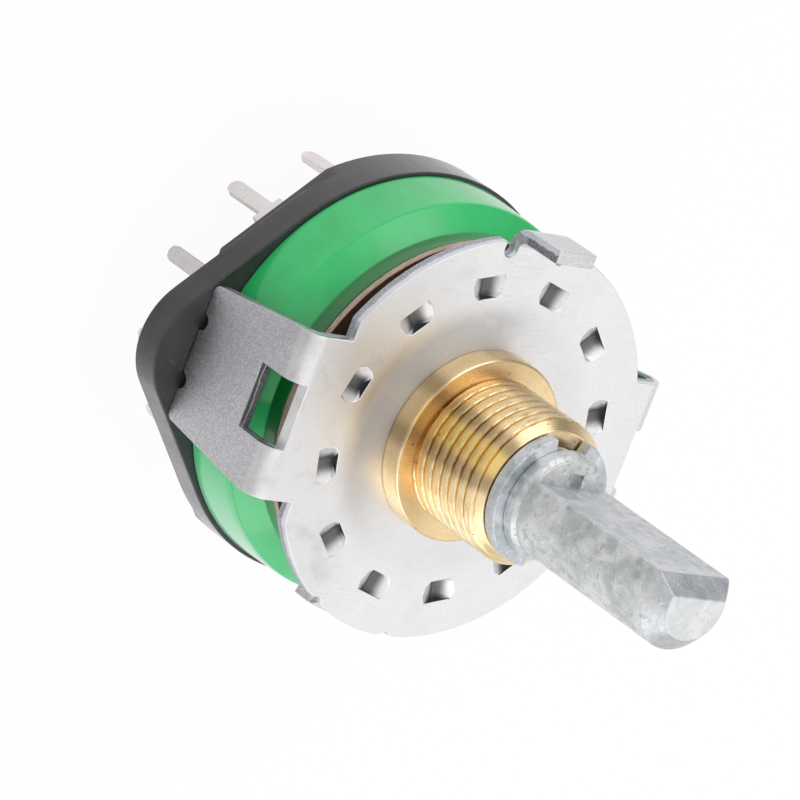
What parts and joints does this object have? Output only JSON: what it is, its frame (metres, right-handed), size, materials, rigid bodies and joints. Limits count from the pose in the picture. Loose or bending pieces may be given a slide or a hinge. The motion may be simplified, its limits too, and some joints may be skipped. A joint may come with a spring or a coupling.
{
  "type": "rotary switch",
  "caption": "Panel-mount rotary switch with threaded bushing, flatted shaft, pressed front plate with detent pockets and legs, moulded housing and eared base with flat terminals.",
  "frame": {"origin": "on the shaft's axis, in the plane of the front plate's front face, where the bushing stands on it", "axes": "+Z along the shaft towards its tip, X through the plate's two legs and the base's two ears, +Y towards the locating lug"},
  "size_m": [0.0338, 0.027, 0.0416],
  "materials": {
    "plate": "bright plated sheet, fine speckle",
    "bushing": "turned, bright",
    "shaft": "grey zinc die casting, as cast",
    "collar": "dull grey",
    "hub": "plain",
    "laminate": "brown laminate",
    "spring": "spring steel",
    "ball": "polished",
    "housing": "glossy green moulding",
    "rotor": "natural moulding",
    "wiper": "bright contact strip",
    "base": "matt black moulding",
    "terminal": "tinned"
  },
  "bodies": {
    "body": {"front_plate": "plate", "bushing": "bushing", "housing": "housing", "base": "base", "terminal_01": "terminal", "terminal_02": "terminal", "terminal_03": "terminal", "terminal_04": "terminal", "terminal_05": "terminal", "terminal_06": "terminal", "terminal_07": "terminal", "terminal_08": "terminal", "terminal_09": "terminal", "terminal_10": "terminal", "terminal_11": "terminal", "terminal_12": "terminal", "common_terminal": "terminal"},
    "spindle": {"shaft": "shaft", "thrust_collar": "collar", "index_hub": "hub", "detent_disc": "laminate", "detent_spring": "spring", "detent_ball_1": "ball", "detent_ball_2": "ball", "contact_rotor": "rotor", "wiper": "wiper", "rear_clip": "spring"}
  },
  "joints": [
    {"name": "shaft_turn", "type": "hinge", "parent": "body", "child": "spindle", "pos_m": [0, 0, 0], "axis": [0, 0, 1], "range_deg": [-150, 180]}
  ]
}
